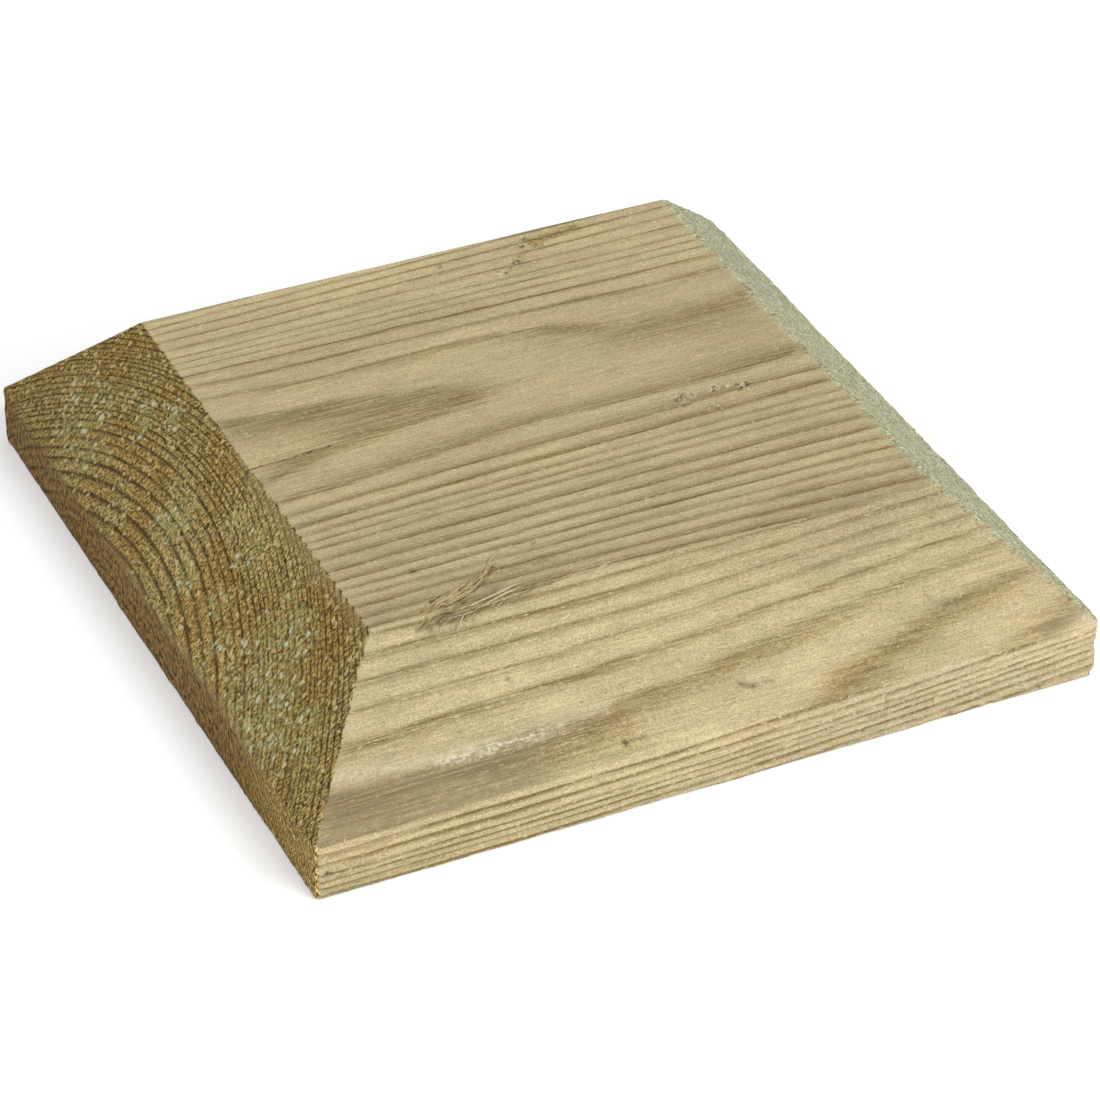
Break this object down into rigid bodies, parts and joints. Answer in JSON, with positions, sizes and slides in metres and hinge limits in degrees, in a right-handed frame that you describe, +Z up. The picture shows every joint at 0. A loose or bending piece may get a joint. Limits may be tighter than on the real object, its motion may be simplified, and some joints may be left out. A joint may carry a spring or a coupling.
{
  "type": "post cap",
  "caption": "Square timber post cap with a flat top, sloping bevels that meet in hips, an upright edge band and a flat underside.",
  "frame": {"origin": "centre of the flat underside, where the cap sits on its post", "axes": "+Z up away from the post, X along the grain, Y across the grain"},
  "size_m": [0.12, 0.12, 0.027],
  "materials": {
    "timber": "sawn and lightly planed pressure-treated softwood, bare"
  },
  "bodies": {
    "root": {"post_cap": "timber"}
  },
  "joints": []
}
